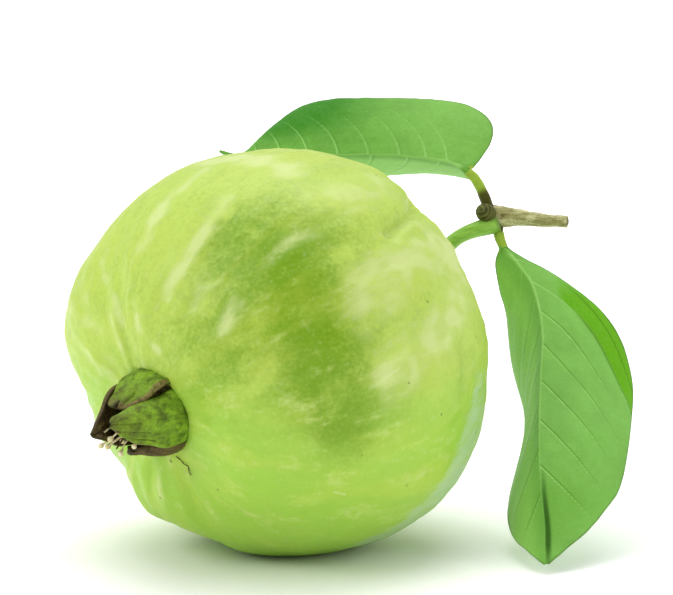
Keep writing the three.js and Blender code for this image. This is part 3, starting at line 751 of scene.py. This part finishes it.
def sepal(s, finish):
    """One sepal, bent in over the mouth, with a crinkled blade, a ragged tip and lips that roll out."""

    def surface(u, v):
        none = 0 * u
        crinkle = grid_waves(np.stack([u * 9, v * 5, none], axis=-1), 1.7, s.seed) * u**0.7
        tear = grid_waves(np.stack([v * 6, none, none], axis=-1), 1.0, s.seed + 9)
        out = -0.4 + (s.reach + SEPAL_LIFT + 0.7 * tear * u**3) * u
        narrowing = 0.97 * np.sqrt(1 - u**7) + 0.06
        turn = (s.start + s.end) / 2 + v * (s.end - s.start) / 2 * narrowing * (1 + 0.04 * crinkle)
        place = calyx_place(out, sepal_distance(s, u, v, crinkle), turn)
        return place + (s.rise * u**2.2)[..., None] * crest

    points, faces, u, v, side = sheet(surface, SEPAL_THICKNESS, 56, 44)
    edge = np.abs(v)
    lip = np.maximum(smooth(edge, 0.8, 0.9) * smooth(u, 0.15, 0.5), smooth(u, 0.9, 0.96))
    lip *= np.where(v < 0, *s.lips)
    from_foot = points - calyx_foot
    from_axis = np.linalg.norm(from_foot - (from_foot @ blossom_way)[:, None] * blossom_way, axis=1)
    first_is_outer = from_axis[side == 0].mean() > from_axis[side == 1].mean()
    masks = {
        "along": u,
        "lip": lip,
        # painted shade along the edges and the tip
        "seam": np.maximum(smooth(edge, 0.94 - 0.1 * (lip < 0.1), 0.98), smooth(u, 0.975, 1.0)),
        "ring": smooth(-cos(60 * u), 0.3, 1.0) * bell(u - 0.17, 0.1),
        # painted shade at the foot, down in the hollow
        "foot": 1 - smooth(u, 0.02, 0.12),
        "inner": side if first_is_outer else 1 - side,
    }
    make(s.name + "_leafy", points, faces, finish, s.name, masks)


def cup():
    """The low ring that the sepals stand on, with its hollow floor."""
    turns = np.arange(96) * 360 / 96
    ridge = 0.12 * cos(np.radians(turns) * 17) + 0.06 * cos(np.radians(turns) * 29 + 1)
    rings = []
    for aside, out in CUP_SECTION:
        on_rim = out > 0.4 and aside > 6
        rings.append(calyx_place(out, aside + ridge * on_rim, turns))
    below, above = calyx_foot - 0.25 * blossom_way, calyx_foot + 1.2 * blossom_way
    points, faces = closed_tube(np.array(rings), below, above)
    make("calyx_ring", points, faces, dry_finish("cup_dry", CUP), "calyx_cup")


def thread(name, places, radius, swelling, finish, node, seed):
    """A dry thread through places. `swelling` makes its last part stout, as an anther."""
    count, sides = 40, 10
    share = np.linspace(0, 1, count)
    wobble = np.stack([sin(17 * share + seed), cos(13 * share + seed), sin(11 * share)], axis=1)
    path = even_curve(places, count) + 0.1 * wobble
    at_end = smooth(share, 0.9, 0.95)
    stout = swelling * at_end * (1.15 - smooth(share, 0.97, 1.0))
    rings = rings_about(path, radius * (1 + 0.15 * sin(31 * share + seed) + stout), sides)[0]
    lobes = 1 + 0.25 * (swelling > 0) * at_end[:, None] * cos(2 * angles_round(sides))
    rings = path[:, None] + (rings - path[:, None]) * lobes[..., None]
    points, faces = closed_tube(rings, path[0], path[-1])
    make(name, points, faces, finish, node)


def stamens(thread_finish, anther_finish):
    """The style stands in the middle, and the stamens spiral round it. Every second one is longer."""
    for i in range(STAMEN_COUNT + 1):
        aside = 0.9 * math.sqrt(i)
        turn = 137.5 * i
        reach = STAMEN_REACH - 2.6 * abs(sin(2.4 * i))
        fall, bend = 168, 3.4
        if i % 2:
            reach, fall, bend = reach + 2.6, 222, 3.6
        places = []
        for share in (0, 0.3, 0.6, 0.8, 1):
            spread = 1.25 - 0.45 * share if share < 0.7 else 0.935 + 0.3 * (share - 0.7)
            place = calyx_place(1.0 + (reach - 1.0) * share, aside * spread, turn)
            places.append(place + bend * share**3 * sideways(fall))
        name, swelling, finish = "style", 0.0, thread_finish
        if i > 0:
            name, swelling, finish = "stamen_%d" % i, ANTHER_SWELLING, anther_finish
        thread(name + "_dry", places, STAMEN_RADIUS, swelling, finish, name, i)


def loose_thread(finish):
    """The loose filament lies over the skin below the calyx, along its CAD node's box."""
    skin = bpy.data.objects["guava_fruit"]
    low, high = (np.array(c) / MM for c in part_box("loose_filament"))
    start = np.array([low[0], (low[1] + high[1]) / 2, high[2]])
    end = np.array([high[0], (low[1] + high[1]) / 2, low[2]])
    places = []
    for share, height in ((-0.2, 0.3), (0.3, 0.15), (0.7, 0.15), (1.25, 0.3)):
        place = Vector(((1 - share) * start + share * end) * MM)
        spot, normal = skin.closest_point_on_mesh(place)[1:3]
        places.append(np.array(spot) / MM + height * np.array(normal))
    thread("loose_thread", places, LOOSE_THREAD_RADIUS, 0.0, finish, "loose_filament", 3)


def calyx():
    green_sepal = sepal_finish("sepal_green", GREEN_SEPAL)
    brown_sepal = sepal_finish("sepal_brown", BROWN_SEPAL)
    for s in SEPALS:
        sepal(s, brown_sepal if s.dry else green_sepal)
    cup()
    anther_finish = dry_finish("anther_dry", ANTHER, 2600)
    thread_finish = dry_finish("thread_dry", THREAD, 2600)
    stamens(thread_finish, anther_finish)
    loose_thread(thread_finish)


calyx()

# ---------- the twig, the bud and the stalk ----------
twig_low, twig_high = (np.array(c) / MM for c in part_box("twig"))
knot = np.array([twig_low[0] + 2.17, twig_high[1] - 2.92, (twig_low[2] + twig_high[2]) / 2 - 0.1])


def twig():
    """A short woody twig, thick at its knot and cut off square at its end."""
    way = unit(TWIG_WAY)
    steps, sides = 150, 64
    share = np.linspace(0, 1, steps)
    arch = (TWIG_ARCH * 2 * share * (1 - share))[:, None] * UP
    path = knot - way * 1.59 + share[:, None] * TWIG_LENGTH * way + arch
    path[:, 2] += 0.12 * sin(7 * share) * share
    size = TWIG_NECK_RADIUS + (TWIG_END_RADIUS - TWIG_NECK_RADIUS) * smooth(share, 0.1, 1.0)
    size += (KNOT_RADIUS - TWIG_NECK_RADIUS) * bell(share - 0.06, 0.24)
    size *= np.sqrt(np.clip(share / 0.05, 0, 1)) * 0.5 + 0.5
    size *= 1 - 0.12 * smooth(share, 0.985, 1.0)
    rings, outs = rings_about(path, size, sides)

    along, angle = unrolled(share, sides)
    places = np.stack([along * 20, 2.2 * cos(angle), 2.2 * sin(angle)], axis=-1)
    fibre = grid_waves(places * [0.28, 1, 1], 0.55, 41)
    lump = grid_waves(places, 2.6, 42)
    furrow = bell(grid_waves(places * [0.3, 1, 1], 1.1, 43), 0.16)
    scar_ring = bell(along - 0.3 - 0.02 * sin(angle), 0.012) + bell(along - 0.36, 0.008)
    rings = rings + outs * (0.045 * fibre + 0.05 * lump - 0.1 * furrow + 0.07 * scar_ring)[..., None]
    rings[-1] = rings[-2] * 0.35 + path[-1] * 0.65 + 0.2 * way
    points, faces = closed_tube(rings, path[0] - 0.3 * way, path[-1] - 0.15 * way)
    cut_end = smooth(along, 0.985, 1.0)
    masks = {
        "knot": np.append(bell(along - 0.02, 0.1), [1, 0]),
        "furrow": np.append(np.clip(furrow * 0.8 + cut_end, 0, 1), [0, 1]),
    }
    make("twig_bark", points, faces, bark_finish(), "twig", masks)


def bud():
    """A round bud, wound in scales."""
    way = unit([-0.6, -0.72, 0.36])
    steps, sides = 70, 56
    share = np.linspace(0, 1, steps)
    path = knot + way * 1.2 + share[:, None] * BUD_LENGTH * way
    size = BUD_RADIUS * np.sqrt(np.maximum(1 - 0.98 * (1.55 * share - 0.55) ** 2, 0.004))
    size *= 0.96 + 0.04 * share
    rings, outs = rings_about(path, size, sides)
    along, angle = unrolled(share, sides)
    spiral = 26 * along**1.3 + 1.4 * sin(angle + 2.2 * along) + 0.4 * sin(3 * angle)
    ridge = 0.5 + 0.5 * cos(spiral)
    stand_out = BUD_SCALE_HEIGHT * ridge * smooth(along, 0.1, 0.4) - 0.1
    rings = rings + outs * stand_out[..., None] + way * (BUD_SCALE_HEIGHT * ridge)[..., None]
    points, faces = closed_tube(rings, path[0], path[-1] + 0.05 * way)
    masks = {"ridge": np.append(ridge**3, [0, 0])}
    make("bud_scales", points, faces, bud_finish(), "bud", masks)


def stalk():
    """The green fruit stalk, ribbed, and thicker where it leaves the fruit."""
    foot = FRUIT_MIDDLE + stem_way * STALK_SEAT
    bend = foot + (knot - foot) * 0.66 + [-1.2, -0.6, 1.0]
    places = [foot, foot + stem_way * 6.4, bend, knot + [0.8, -1.6, -1.4]]
    steps, sides = 90, 48
    share = np.linspace(0, 1, steps)
    path = even_curve(places, steps)
    size = STALK_RADIUS * (1 + 0.45 * bell(share, 0.12) + 0.2 * bell(share - 1, 0.2))
    rings, outs = rings_about(path, size, sides)
    along, angle = unrolled(share, sides)
    ribs = 0.05 * cos(4 * angle + 1.5 * along) + 0.025 * cos(11 * angle + 3 * along)
    rings = rings + outs * (ribs + 0.05 * sin(15 * along))[..., None]
    points, faces = closed_tube(rings, path[0], path[-1])
    foot_mask = np.maximum(bell(along, 0.1), 0.75 * smooth(along, 0.93, 1.0))
    masks = {"foot": np.append(foot_mask, [1, 1])}
    make("green_stalk", points, faces, stalk_finish(), "stalk", masks)


twig()
bud()
stalk()


# ---------- the leaves ----------
# A leaf's outlines give its two edges: the share of the midrib that a place is beside, and its distance as a
# share of half_width. `fold` is how far each half is turned back, in degrees, at the leaf's foot, middle and
# tip, and `curl` how much farther its edge turns. Side veins leave the midrib at the shares given, and slope
# and bend towards the tip. `rich`, `light` and `dark` say where the blade is deeper green, paler, and
# painted dark along its veins as shade, by the share along it and the share across it, which is below 0 on
# the left.
LOWER_OUTLINE = {
    "left": [
        (0, 0.05), (0.02, 0.25), (0.1, 0.56), (0.22, 0.83), (0.36, 0.97), (0.52, 1),
        (0.66, 0.97), (0.8, 0.84), (0.88, 0.66), (0.95, 0.32), (1, 0.03),
    ],
    "right": [
        (0, 0.05), (0.05, 0.11), (0.12, 0.31), (0.24, 0.82), (0.36, 1.03), (0.5, 1.08),
        (0.63, 1.05), (0.77, 0.88), (0.87, 0.63), (0.95, 0.26), (1, 0.03),
    ],
}
UPPER_OUTLINE = {
    "left": [
        (0, 0.06), (0.0, 0.25), (0.01, 0.5), (0.04, 0.76), (0.09, 0.92), (0.18, 1), (0.3, 1.02), (0.5, 1.02),
        (0.64, 1.04), (0.75, 1.02), (0.8, 0.94), (0.85, 0.74), (0.885, 0.4), (0.91, 0.07), (1, 0.03),
    ],
    "right": [
        (0, 0.06), (-0.01, 0.3), (0.03, 0.6), (0.13, 0.85), (0.3, 1), (0.5, 0.98),
        (0.7, 0.82), (0.82, 0.54), (0.9, 0.22), (1, 0.03),
    ],
}


def bowed(foot, tip, aside, out, bows):
    """A midrib from foot to tip. Its bows are (share of the way, offset aside, offset out)."""
    places = []
    for share, to_side, outwards in bows:
        places.append(foot + (tip - foot) * share + np.asarray(aside) * to_side + out * outwards)
    return even_curve(places, 240)


def bezier(values, t):
    return values[0] * (1 - t) ** 2 + values[1] * 2 * t * (1 - t) + values[2] * t**2


def along_midrib(values, t):
    shares = np.linspace(0, 1, len(values))
    return np.stack([np.interp(t, shares, values[:, k]) for k in range(3)], axis=-1)


def past_vein(s, length, along, out, side):
    """How far each place is past the nearest side vein, in millimetres towards the tip."""
    past = np.full(along.shape, 9.0)  # farther than any vein shows
    for start in s.veins[side]:
        bend = s.vein_bend + s.vein_bend_more * start
        leaves_at = along - s.vein_slope * out - bend * out**s.vein_power
        gap = (leaves_at - start) * length * 0.8
        past = np.where(np.abs(gap) < np.abs(past), gap, past)
    return past


def lay_blade(s, u, v):
    """Places on the blade's middle surface, the share along the midrib, and how far past a side vein."""
    length = np.linalg.norm(np.diff(s.midrib, axis=0), axis=1).sum()
    tangents = unit(np.gradient(s.midrib, axis=0))
    places, along, past = np.zeros(u.shape + (3,)), np.zeros(u.shape), np.zeros(u.shape)
    for side, sign, pick in (("left", 1, v < 0), ("right", -1, v >= 0)):
        a, w = u[pick], np.abs(v[pick])
        edge = spline(s.outline[side], a)
        t = a + (edge[:, 0] - a) * w
        on = np.clip(t, 0, 1)
        way = unit(along_midrib(tangents, on))
        out = square_to(np.broadcast_to(s.face, way.shape), way)
        aside = np.cross(way, out)
        reach = w * s.half_width * edge[:, 1]
        turn = np.radians(bezier(s.fold[side], on) + s.curl * w**2)
        distance = past_vein(s, length, on, w * edge[:, 1], side)
        vein = bell(distance, VEIN_WIDTH) * (1 - 0.75 * w**2)
        quilt = smooth(np.abs(distance), 0.0, 5.0) * sin(pi * w) ** 0.6
        ripple = w**2 * edge[:, 1] * sin(2 * pi * (s.ripples * on + s.ripple_start * sign))
        rise = s.ripple_height * ripple + s.quilt_height * quilt + s.vein_height * vein
        place = along_midrib(s.midrib, on) + way * (np.minimum(t, 0) * length)[:, None]
        place += aside * (sign * (reach * cos(turn) - rise * sin(turn)))[:, None]
        place += out * (-reach * sin(turn) + rise * cos(turn))[:, None]
        places[pick], along[pick], past[pick] = place, on, distance
    return places, along, past


def blade(s):
    """Points, faces and masks of a leaf's blade."""
    points, faces, u, v, _ = sheet(lambda a, b: lay_blade(s, a, b)[0], LEAF_THICKNESS, 200, 121)
    points = points + 0.05 * waves(points, 2.0, 77)[:, None] * s.face
    _, along, past = lay_blade(s, u, v)
    w = np.abs(v)
    share = np.where(v < 0, spline(s.outline["left"], u)[:, 1], spline(s.outline["right"], u)[:, 1])
    half = share * s.half_width
    across = v * share
    # painted shade: where the veins show dark rather than pale
    dark = s.dark(along, across)
    vein = bell(past, s.vein_width) * (1 - 0.55 * w) * (1 - dark)
    vein = np.maximum(vein, bell(w * half, 0.3 - 0.14 * along) * (1 - smooth(along, 0.6, 0.95)))
    # painted shade beside each vein, and along the veins where they show dark
    groove_shade = bell(past + 0.5, 0.34) * (1 - w**3) * s.vein_shade * smooth(along, 0.1, 0.3)
    groove_shade = np.maximum(groove_shade, bell(past, 0.34) * dark)
    # painted shade: a dark line beside the midrib near the tip, where the blade folds, and another at the
    # left edge, where it curls back
    by_midrib = (v > 0) * smooth(along, 0.66, 0.9) * bell(w * half - 0.5, 0.75)
    by_midrib *= 1 - 0.5 * smooth(along, 0.94, 1.0)
    by_edge = (v < 0) * bell(along - 0.74, 0.1) * smooth(w, 0.87, 0.95)
    return points, faces, {
        "vein": vein,
        "groove_shade": groove_shade,
        "margin": smooth(1 - (1 - w) * half / 0.7, 0.0, 1.0),
        "rich": s.rich(along, across),
        "light": s.light(along, across),
        "painted_shade": np.maximum(by_midrib, by_edge) * s.painted_shade,
        "petiole": smooth(0.03 - along, 0.0, 0.03) * bell(w * half, 2.0),
        "base": 0 * u,
    }


def rod(s, start):
    """Points, faces and masks of a leaf's petiole, which runs on as its midrib."""
    sides = 28
    stem = even_curve(s.petiole, 60)[:-1]
    spine = s.midrib[:-2:2]
    path = np.concatenate([stem, spine])
    stem_share, spine_share = np.linspace(0, 1, len(stem)), np.linspace(0, 1, len(spine))
    stem_size = MIDRIB_RADIUS * (1.5 - 0.4 * stem_share**0.5)
    spine_size = MIDRIB_RADIUS * (1.1 - 0.92 * smooth(spine_share, -0.02, 0.1)) - 0.11 * spine_share
    size = np.concatenate([stem_size, spine_size])
    rings, outs = rings_about(path, size, sides)
    grooves = 0.06 * cos(5 * angles_round(sides)) + 0.04 * grid_waves(rings, 1.5, 78)
    rings = rings + outs * (grooves * (size / MIDRIB_RADIUS)[:, None])[..., None]
    points, faces = closed_tube(rings, path[0], path[-1], start)
    # -1 where the petiole starts, 0 where it joins the blade and 1 at the leaf's tip
    place = np.append(np.repeat(np.concatenate([stem_share - 1, spine_share]), sides), [-1, 1])
    masks = {key: 0 * place for key in ("groove_shade", "margin", "rich", "light", "painted_shade")}
    masks["vein"] = smooth(place, 0.0, 0.06)
    masks["petiole"] = 1 - smooth(place, -0.1, 0.06)
    masks["base"] = smooth(-place, 1 - s.dark_base, 1 - s.dark_base * 0.35)
    return points, faces, masks


def leaf(s):
    """A blade folded along its midrib, quilted between its veins, with the midrib and petiole as one rod."""
    points, faces, masks = blade(s)
    rod_points, rod_faces, rod_masks = rod(s, len(points))
    masks = {key: np.concatenate([masks[key], rod_masks[key]]) for key in masks}
    points = np.concatenate([points, rod_points])
    finish = leaf_finish(s.name + "_green", s.tones)
    make(s.name + "_blade", points, faces + rod_faces, finish, s.name, masks)


def lower_leaf():
    """The leaf that hangs at the right, with its left half folded back."""
    foot = knot + [1.6, -3.0, -6.6]
    tip = foot + [6.5, -59.04, -59.7]
    face = unit([-0.04, -0.71, 0.7])
    midrib = bowed(foot, tip, [1, 0, 0], face, [
        (0, 0, 0), (0.06, 3.3, 0), (0.14, 6.0, 0.1), (0.285, 6.6, 0.4), (0.45, 4.5, 1.3),
        (0.62, 2.5, 2.7), (0.78, 1.1, 2.9), (0.91, 0.8, 1.5), (1, 0, 0),
    ])

    def rich(along, across):
        w = np.maximum(across, 0)
        past = along - 0.25 * w - 0.08 * w**3 - 0.135
        upper_right = smooth(w, 0.16, 0.36) * (1 - smooth(past, -0.012, 0.01)) * smooth(along, 0.08, 0.25)
        return np.clip(1.25 * upper_right + 0.3 * bell(along - 0.85, 0.12) * (across > 0), 0, 1)

    def light(along, across):
        return smooth(-across, 0.02, 0.3)

    # painted shade: near the foot on the right, the veins show dark
    def dark(along, across):
        w = np.maximum(across, 0)
        past = along - 0.25 * w - 0.08 * w**3
        return smooth(w, 0.3, 0.55) * (1 - smooth(past, 0.17, 0.2))

    leaf(SimpleNamespace(
        name="leaf_lower", tones=LOWER_LEAF, midrib=midrib, face=face, half_width=20.0,
        petiole=[knot + [1.2, -0.4, -1.0], knot + [1.0, -1.4, -3.4], midrib[3]],
        outline=LOWER_OUTLINE,
        fold={"left": (34, 104, 32), "right": (8, 4, 10)},
        curl=12, ripple_height=1.4, ripples=2.3, ripple_start=0.12, quilt_height=0.3,
        veins={
            "left": [0.09, 0.19, 0.29, 0.41, 0.55, 0.69, 0.82],
            "right": [-0.13, -0.06, 0.0, 0.055, 0.14, 0.24, 0.35, 0.47, 0.6, 0.74],
        },
        vein_slope=0.25, vein_bend=0.08, vein_bend_more=0.0, vein_power=3.0,
        vein_height=0.07, vein_width=0.2, vein_shade=0.75,
        painted_shade=1.0, dark_base=0.6, rich=rich, light=light, dark=dark,
    ))


def upper_leaf():
    """The leaf that lies behind the top of the fruit, with its right half turned down."""
    foot = knot + [-5.6, 1.0, 10.3]
    chord = 66.88
    tip = foot + chord * unit([-0.872, 0.463, 0.02])
    face = unit([-0.1, -0.8, 0.58])
    midrib = bowed(foot, tip, UP, face, [
        (0, 0, 0), (0.07, 1.6, 0.2), (0.18, 2.2, 0.4), (0.34, 2.0, 0.8),
        (0.6, 0.6, 1.0), (0.84, -0.9, 0.4), (0.93, -0.9, 0.2), (1, 0, 0),
    ])

    def rich(along, across):
        return np.clip(1.15 * smooth(along, 0.3, 0.75) * smooth(-across, 0.0, 0.7), 0, 1)

    def light(along, across):
        return np.where(across > 0, 0.9 * smooth(across, 0.0, 0.2), 0.35 * smooth(0.45 - along, 0.0, 0.3))

    def dark(along, across):
        return 0 * across

    leaf(SimpleNamespace(
        name="leaf_upper", tones=UPPER_LEAF, midrib=midrib, face=face, half_width=19.0,
        petiole=[knot + [-1.0, 0.0, 1.4], knot + [-2.2, -0.2, 4.6], knot + [-4.0, 0.4, 8.2], midrib[3]],
        outline=UPPER_OUTLINE,
        fold={"left": (2, 4, 10), "right": (98, 100, 90)},
        curl=10, ripple_height=0.8, ripples=1.8, ripple_start=0.2, quilt_height=0.2,
        veins={
            "left": [0.09, 0.17, 0.27, 0.39, 0.51, 0.63, 0.74, 0.84],
            "right": [0.12, 0.24, 0.38, 0.52, 0.66, 0.8],
        },
        vein_slope=0.14, vein_bend=0.2, vein_bend_more=0.1, vein_power=2.4,
        vein_height=0.05, vein_width=0.2, vein_shade=0.45,
        painted_shade=0.0, dark_base=0.7, rich=rich, light=light, dark=dark,
    ))


lower_leaf()
upper_leaf()


# ---------- floor, light and camera ----------
def floor():
    """A plain pale floor that glows a little more away from the object, so that it stays white."""
    mesh = bpy.data.meshes.new("floor")
    reach = 9.0
    corners = [(-reach, -reach, 0), (reach, -reach, 0), (reach, reach, 0), (-reach, reach, 0)]
    mesh.from_pydata(corners, [], [(0, 1, 2, 3)])
    plane = add("floor", mesh)
    f = Finish("white_floor", roughness=0.6, specular=0.1)
    f.link(f.mix(f.noise(6, 2, 0.5), (0.99, 0.99, 0.985), (0.96, 0.96, 0.955)), "Base Color")
    distance = add_node(f.tree, "VectorMath", {0: f.place}, operation="LENGTH")["Value"]
    near_glow = f.between(distance, (0.025, 0.06), (0, 0.21))
    far_glow = f.between(distance, (0.1, 0.8), (0, 0.42))
    f.shader["Emission Color"].default_value = (1, 1, 1, 1)
    f.link(f.sum((near_glow, 1), (far_glow, 1)), "Emission Strength")
    mesh.materials.append(f.material)


def studio():
    """White all round, dimmer in front, so that the faces turned to the front keep their colour."""
    world = bpy.data.worlds.new("studio")
    bpy.context.scene.world = world
    world.use_nodes = True
    tree = world.node_tree
    background = tree.nodes["Background"].inputs
    place = add_node(tree, "TexCoord", {})["Generated"]
    depth = add_node(tree, "SeparateXYZ", {0: place})["Y"]
    tree.links.new(soft_step(tree, depth, (-0.95, -0.15), (0.16, 0.7)), background["Strength"])
    background["Color"].default_value = (1, 1, 1, 1)


def softbox(name, place, size, power):
    """A white rectangular light, turned to the fruit."""
    light = bpy.data.lights.new(name, "AREA")
    light.shape = "RECTANGLE"
    light.size, light.size_y = size
    light.energy = power
    lamp = add(name, light)
    lamp.location = place
    lamp.rotation_euler = (Vector(LIGHTS_AIM) - Vector(place)).to_track_quat("-Z", "Y").to_euler()


def camera():
    """Looks along +Y, tilted 9 degrees down, from 0.6 m in front of the fruit's middle."""
    data = bpy.data.cameras.new("camera")
    data.lens = 146.35
    data.sensor_width = 36
    eye = add("camera", data)
    eye.location = (0.01155, -0.59074, 0.14907)
    eye.rotation_euler = (math.radians(90 - 9), 0, 0)
    bpy.context.scene.camera = eye


floor()
studio()
softbox("left_light", (-0.75, -0.45, 0.7), (0.6, 0.6), 4.2)
softbox("right_light", (0.8, -0.35, 0.45), (0.45, 0.6), 1.8)
softbox("top_light", (0.0, 0.25, 0.9), (0.9, 0.7), 4.8)
camera()
bpy.context.scene.view_settings.view_transform = "Standard"
